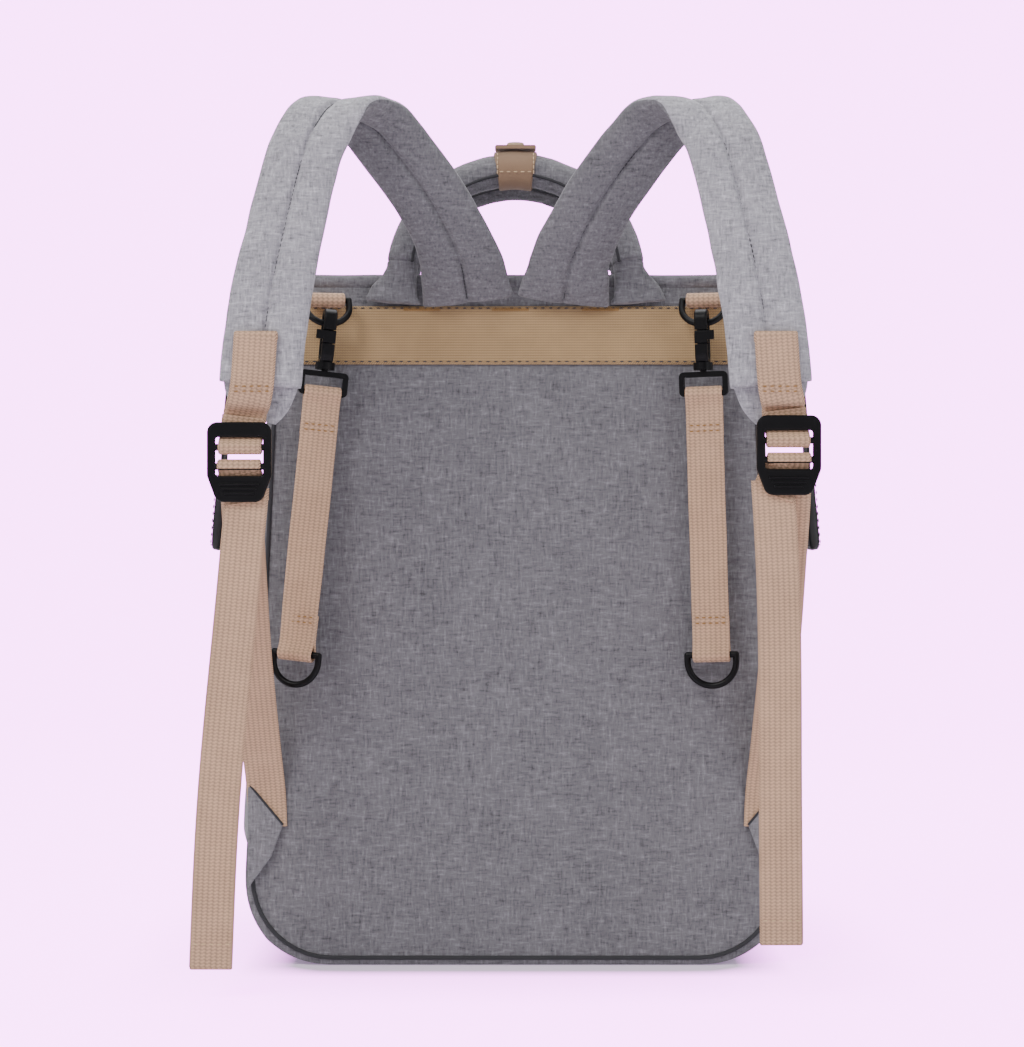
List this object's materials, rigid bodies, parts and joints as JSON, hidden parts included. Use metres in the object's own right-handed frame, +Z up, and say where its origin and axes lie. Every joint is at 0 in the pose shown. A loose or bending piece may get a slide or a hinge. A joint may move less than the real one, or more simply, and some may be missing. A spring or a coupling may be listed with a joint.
{
  "type": "diaper bag",
  "caption": "Backpack-style diaper bag with padded shoulder straps, two carry handles, clip-on stroller straps, zipped top flap and outside pockets.",
  "frame": {"origin": "centre of the flat base", "axes": "+Z up, +Y from the wearer-side back panel towards the front pocket, +X to the right seen from behind"},
  "size_m": [0.3842, 0.3357, 0.5245],
  "materials": {
    "fabric": "melange polyester",
    "strap_fabric": "melange polyester over foam",
    "foam": "closed-cell foam",
    "board": "stiff sheet",
    "lining": "smooth polyester",
    "piping": "bound seam",
    "band_webbing": "ribbed webbing",
    "strap_webbing": "woven webbing",
    "steel": "spring steel",
    "zipper": "nylon tape and coil",
    "slider_metal": "satin black",
    "leather": "grained faux leather",
    "elastic": "woven elastic",
    "canvas": "plain-weave canvas",
    "snap": "satin",
    "black_plastic": "satin moulded plastic"
  },
  "bodies": {
    "bag": {"back_panel": "fabric", "back_foam": "foam", "front_panel": "fabric", "bottom_panel": "fabric", "gusset_left": "fabric", "gusset_right": "fabric", "base_board": "board", "lining": "lining", "piping": "piping", "webbing_band": "band_webbing", "rear_hem": "fabric", "rear_rim_stay": "steel", "rear_zipper_tape": "zipper", "front_pocket": "fabric", "pocket_zipper": "zipper", "side_pockets": "fabric", "side_pocket_elastics": "elastic", "ring_tabs": "strap_webbing", "anchor_wedges": "fabric", "load_webbing_left": "strap_webbing", "load_webbing_right": "strap_webbing", "rear_handle_feet": "fabric"},
    "top_flap": {"flap_panel": "fabric", "front_hem": "fabric", "front_rim_stay": "steel", "front_zipper_tape": "zipper", "front_handle_feet": "fabric"},
    "main_slider": {"main_slider": "slider_metal"},
    "main_pull": {"main_pull": "leather"},
    "pocket_slider": {"pocket_slider": "slider_metal"},
    "pocket_pull": {"pocket_pull": "leather"},
    "rear_handle": {"rear_handle": "fabric", "wrap": "canvas"},
    "front_handle": {"front_handle": "fabric"},
    "wrap_tab": {"wrap_tab": "canvas", "wrap_snap": "snap"},
    "zipper_tail_left": {"zipper_tail_left": "zipper", "tail_tab_left": "leather"},
    "shoulder_strap_left": {"shoulder_strap_left": "strap_fabric", "strap_webbing_left": "strap_webbing"},
    "ladder_lock_left": {"ladder_lock_left": "black_plastic"},
    "webbing_tail_left": {"webbing_tail_left": "strap_webbing"},
    "upper_ring_left": {"upper_ring_left": "black_plastic"},
    "snap_hook_left": {"snap_hook_left": "black_plastic"},
    "hook_gate_left": {"hook_gate_left": "black_plastic"},
    "hook_eye_left": {"hook_eye_left": "black_plastic"},
    "stroller_strap_left": {"stroller_strap_left": "strap_webbing"},
    "lower_ring_left": {"lower_ring_left": "black_plastic"},
    "zipper_tail_right": {"zipper_tail_right": "zipper", "tail_tab_right": "leather"},
    "shoulder_strap_right": {"shoulder_strap_right": "strap_fabric", "strap_webbing_right": "strap_webbing"},
    "ladder_lock_right": {"ladder_lock_right": "black_plastic"},
    "webbing_tail_right": {"webbing_tail_right": "strap_webbing"},
    "upper_ring_right": {"upper_ring_right": "black_plastic"},
    "snap_hook_right": {"snap_hook_right": "black_plastic"},
    "hook_gate_right": {"hook_gate_right": "black_plastic"},
    "hook_eye_right": {"hook_eye_right": "black_plastic"},
    "stroller_strap_right": {"stroller_strap_right": "strap_webbing"},
    "lower_ring_right": {"lower_ring_right": "black_plastic"}
  },
  "joints": [
    {"name": "top_flap_hinge", "type": "hinge", "parent": "bag", "child": "top_flap", "pos_m": [0, 0.07042, 0.33], "axis": [-1, 0, 0], "range_deg": [0, 110]},
    {"name": "main_slider_slide", "type": "slide", "parent": "bag", "child": "main_slider", "axis": [-1, 0, 0], "range_m": [0, 0.27]},
    {"name": "main_pull_swing", "type": "hinge", "parent": "main_slider", "child": "main_pull", "pos_m": [0.141, -0.06308, 0.4289], "axis": [0, 1, 0], "range_deg": [0, 150]},
    {"name": "pocket_slider_slide", "type": "slide", "parent": "bag", "child": "pocket_slider", "axis": [1, 0, 0], "range_m": [0, 0.178]},
    {"name": "pocket_pull_swing", "type": "hinge", "parent": "pocket_slider", "child": "pocket_pull", "pos_m": [-0.091, 0.11626, 0.212], "axis": [0, -0.0698, 0.9976], "range_deg": [0, 150]},
    {"name": "rear_handle_fold", "type": "hinge", "parent": "bag", "child": "rear_handle", "pos_m": [0, -0.08168, 0.43595], "axis": [-1, 0, 0], "range_deg": [0, 20]},
    {"name": "front_handle_fold", "type": "hinge", "parent": "top_flap", "child": "front_handle", "pos_m": [0, -0.02681, 0.44041], "axis": [-1, 0, 0], "range_deg": [0, 40]},
    {"name": "wrap_tab_open", "type": "hinge", "parent": "rear_handle", "child": "wrap_tab", "pos_m": [0, -0.07382, 0.50965], "axis": [1, 0, 0], "range_deg": [0, 100]},
    {"name": "zipper_tail_left_swing", "type": "hinge", "parent": "bag", "child": "zipper_tail_left", "pos_m": [-0.1775, -0.06308, 0.3918], "axis": [0, 1, 0], "range_deg": [0, 60]},
    {"name": "shoulder_strap_left_swing", "type": "hinge", "parent": "bag", "child": "shoulder_strap_left", "pos_m": [-0.03, -0.087, 0.411], "axis": [-1, 0, 0], "range_deg": [0, 22], "deforming": ["load_webbing_left"]},
    {"name": "ladder_lock_left_tilt", "type": "hinge", "parent": "shoulder_strap_left", "child": "ladder_lock_left", "pos_m": [-0.159, -0.204, 0.3175], "axis": [-1, 0, 0], "range_deg": [0, 8]},
    {"name": "webbing_tail_left_swing", "type": "hinge", "parent": "ladder_lock_left", "child": "webbing_tail_left", "pos_m": [-0.1545, -0.2035, 0.285], "axis": [-1, 0, 0], "range_deg": [0, 35]},
    {"name": "upper_ring_left_swing", "type": "hinge", "parent": "bag", "child": "upper_ring_left", "pos_m": [-0.11679, -0.09724, 0.41199], "axis": [-0.9781, -0.2079, 0], "range_deg": [0, 40]},
    {"name": "snap_hook_left_swing", "type": "hinge", "parent": "upper_ring_left", "child": "snap_hook_left", "pos_m": [-0.1145, -0.108, 0.3965], "axis": [0.2079, -0.9781, 0], "range_deg": [0, 8]},
    {"name": "hook_gate_left_press", "type": "hinge", "parent": "snap_hook_left", "child": "hook_gate_left", "pos_m": [-0.11442, -0.11391, 0.38496], "axis": [-0.9733, -0.2069, 0.0993], "range_deg": [0, 30], "stiffness_Nm_per_rad": 0.02},
    {"name": "hook_eye_left_swivel", "type": "hinge", "parent": "snap_hook_left", "child": "hook_eye_left", "pos_m": [-0.11698, -0.10853, 0.37113], "axis": [0.0971, 0.0206, 0.9951], "range_deg": [0, 25]},
    {"name": "stroller_strap_left_swing", "type": "hinge", "parent": "hook_eye_left", "child": "stroller_strap_left", "pos_m": [-0.11868, -0.10889, 0.35371], "axis": [-0.9733, -0.2069, 0.0993], "range_deg": [0, 30]},
    {"name": "lower_ring_left_swing", "type": "hinge", "parent": "stroller_strap_left", "child": "lower_ring_left", "pos_m": [-0.13427, -0.1122, 0.19401], "axis": [-0.9356, 0.3429, 0.0842], "range_deg": [0, 60]},
    {"name": "zipper_tail_right_swing", "type": "hinge", "parent": "bag", "child": "zipper_tail_right", "pos_m": [0.1775, -0.06308, 0.3918], "axis": [0, -1, 0], "range_deg": [0, 60]},
    {"name": "shoulder_strap_right_swing", "type": "hinge", "parent": "bag", "child": "shoulder_strap_right", "pos_m": [0.03, -0.087, 0.411], "axis": [-1, 0, 0], "range_deg": [0, 22], "deforming": ["load_webbing_right"]},
    {"name": "ladder_lock_right_tilt", "type": "hinge", "parent": "shoulder_strap_right", "child": "ladder_lock_right", "pos_m": [0.157, -0.204, 0.3215], "axis": [-1, 0, 0], "range_deg": [0, 8]},
    {"name": "webbing_tail_right_swing", "type": "hinge", "parent": "ladder_lock_right", "child": "webbing_tail_right", "pos_m": [0.148, -0.2035, 0.289], "axis": [-1, 0, 0], "range_deg": [0, 35]},
    {"name": "upper_ring_right_swing", "type": "hinge", "parent": "bag", "child": "upper_ring_right", "pos_m": [0.11679, -0.09724, 0.41199], "axis": [-0.9781, 0.2079, 0], "range_deg": [0, 40]},
    {"name": "snap_hook_right_swing", "type": "hinge", "parent": "upper_ring_right", "child": "snap_hook_right", "pos_m": [0.1145, -0.108, 0.3965], "axis": [0.2079, 0.9781, 0], "range_deg": [0, 8]},
    {"name": "hook_gate_right_press", "type": "hinge", "parent": "snap_hook_right", "child": "hook_gate_right", "pos_m": [0.11363, -0.11374, 0.3849], "axis": [-0.9777, 0.2078, -0.0297], "range_deg": [0, 30], "stiffness_Nm_per_rad": 0.02},
    {"name": "hook_eye_right_swivel", "type": "hinge", "parent": "snap_hook_right", "child": "hook_eye_right", "pos_m": [0.11524, -0.10816, 0.37101], "axis": [0.029, -0.0062, -0.9996], "range_deg": [0, 25]},
    {"name": "stroller_strap_right_swing", "type": "hinge", "parent": "hook_eye_right", "child": "stroller_strap_right", "pos_m": [0.11575, -0.10827, 0.35352], "axis": [-0.9777, 0.2078, -0.0297], "range_deg": [0, 30]},
    {"name": "lower_ring_right_swing", "type": "hinge", "parent": "stroller_strap_right", "child": "lower_ring_right", "pos_m": [0.1204, -0.10926, 0.19309], "axis": [-0.9777, 0.2078, -0.0297], "range_deg": [0, 60]}
  ]
}
